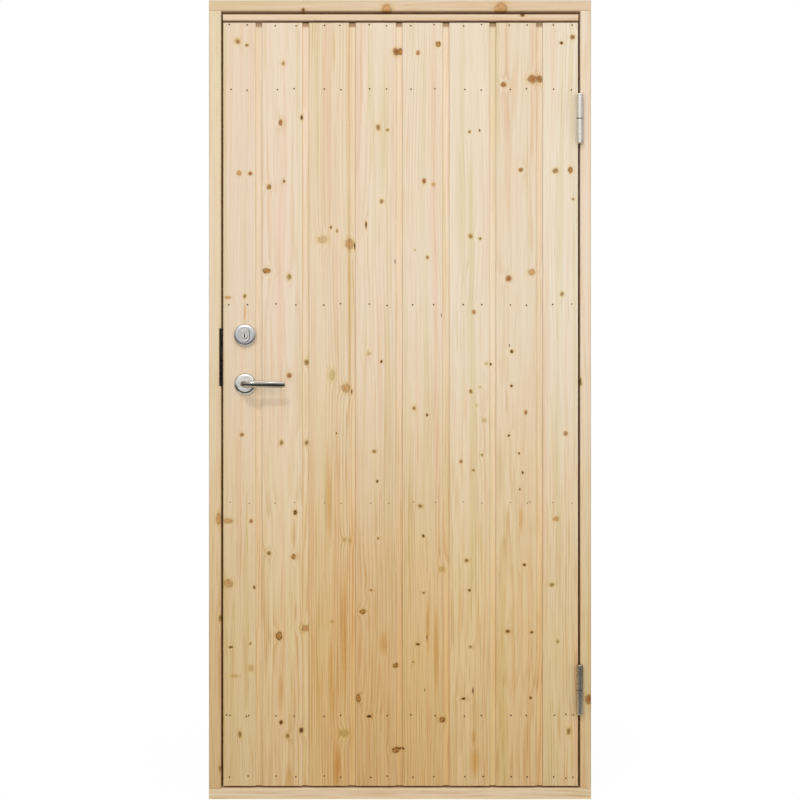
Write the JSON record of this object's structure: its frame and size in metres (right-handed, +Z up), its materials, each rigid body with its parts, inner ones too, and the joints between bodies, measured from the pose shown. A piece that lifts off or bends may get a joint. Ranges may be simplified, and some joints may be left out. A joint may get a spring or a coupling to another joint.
{
  "type": "storage door",
  "caption": "Outward-opening pine storage door hung in its pine frame, boarded leaf on a framed core, with lift-off hinges, cylinder lock and lever handle.",
  "frame": {"origin": "centre of the sill's underside, halfway through the frame's depth", "axes": "+Z up, -Y towards the outer face that the leaf opens to, +X towards the hinges"},
  "size_m": [0.89, 0.1574, 1.86],
  "materials": {
    "pine_frame": "planed, untreated",
    "pine_boards": "planed, untreated, knotty",
    "pine_core": "planed, untreated",
    "zinc_hinge": "zinc plated",
    "washer": "moulded",
    "dark_strike": "black",
    "lock_steel": "zinc plated",
    "satin_collar": "satin",
    "satin_cylinder": "satin",
    "polished_handle": "polished",
    "spindle_steel": "plain"
  },
  "bodies": {
    "frame": {"hinge_jamb": "pine_frame", "lock_jamb": "pine_frame", "head": "pine_frame", "sill": "pine_frame", "strike_plate": "dark_strike", "upper_hinge_frame_half": "zinc_hinge", "lower_hinge_frame_half": "zinc_hinge", "upper_hinge_washer": "washer", "lower_hinge_washer": "washer"},
    "leaf": {"board_1": "pine_boards", "board_2": "pine_boards", "board_3": "pine_boards", "board_4": "pine_boards", "board_5": "pine_boards", "board_6": "pine_boards", "board_7": "pine_boards", "board_8": "pine_boards", "top_strip": "pine_boards", "lock_stile": "pine_core", "hinge_stile": "pine_core", "top_rail": "pine_core", "upper_mid_rail": "pine_core", "lower_mid_rail": "pine_core", "bottom_rail": "pine_core", "lock_case": "lock_steel", "upper_hinge_leaf_half": "zinc_hinge", "lower_hinge_leaf_half": "zinc_hinge", "outside_rose": "polished_handle", "inside_rose": "polished_handle", "outside_collar": "satin_collar", "inside_collar": "satin_collar", "outside_cylinder": "satin_cylinder", "inside_cylinder": "satin_cylinder"},
    "handle": {"outside_lever": "polished_handle", "inside_lever": "polished_handle", "spindle": "spindle_steel"}
  },
  "joints": [
    {"name": "leaf_swing", "type": "hinge", "parent": "frame", "child": "leaf", "pos_m": [0.4175, -0.0543, 0], "axis": [0, 0, 1], "range_deg": [0, 175]},
    {"name": "lever_turn", "type": "hinge", "parent": "leaf", "child": "handle", "pos_m": [-0.3605, 0, 0.966], "axis": [0, 1, 0], "range_deg": [0, 45], "stiffness_Nm_per_rad": 1, "springref_deg": -20.05}
  ]
}
